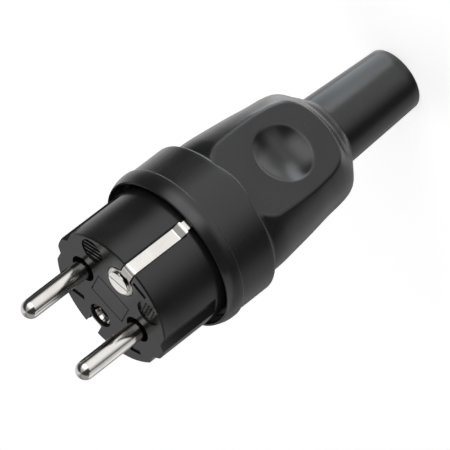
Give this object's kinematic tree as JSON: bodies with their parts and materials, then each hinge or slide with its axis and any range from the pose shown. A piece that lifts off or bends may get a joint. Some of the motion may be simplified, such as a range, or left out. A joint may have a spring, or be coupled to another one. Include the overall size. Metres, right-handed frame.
{
  "type": "two-pin earthed mains plug",
  "caption": "Straight rubber mains plug with round pins, earth strips on its sides, an earth socket in its face, a dimpled grip and a cord sleeve.",
  "frame": {"origin": "centre of the cord sleeve's cut end, on which the plug stands", "axes": "+Z along the pins, out of the contact face; +X from the line pin to the neutral pin; +Y towards the earth strip with the eyelet and away from the earth socket"},
  "size_m": [0.0417, 0.0416, 0.1146],
  "materials": {
    "housing_rubber": "satin",
    "insert_plastic": "satin",
    "carrier_plastic": "satin",
    "nickel": "polished",
    "brass": "satin",
    "screw_steel": "satin"
  },
  "bodies": {
    "root": {"rubber_housing": "housing_rubber", "contact_insert": "insert_plastic", "terminal_carrier": "carrier_plastic", "earth_strip_upper": "nickel", "earth_strip_lower": "nickel", "earth_bridge": "brass", "earth_socket": "nickel", "earth_terminal_block": "brass", "earth_terminal_screw": "screw_steel", "front_screw": "nickel", "front_screw_nut": "screw_steel", "cord_clamp_bridge": "carrier_plastic", "line_pin": "nickel", "neutral_pin": "nickel", "line_terminal_screw": "screw_steel", "neutral_terminal_screw": "screw_steel", "line_side_carrier_screw": "screw_steel", "neutral_side_carrier_screw": "screw_steel", "line_side_clamp_screw": "screw_steel", "neutral_side_clamp_screw": "screw_steel"}
  },
  "joints": []
}
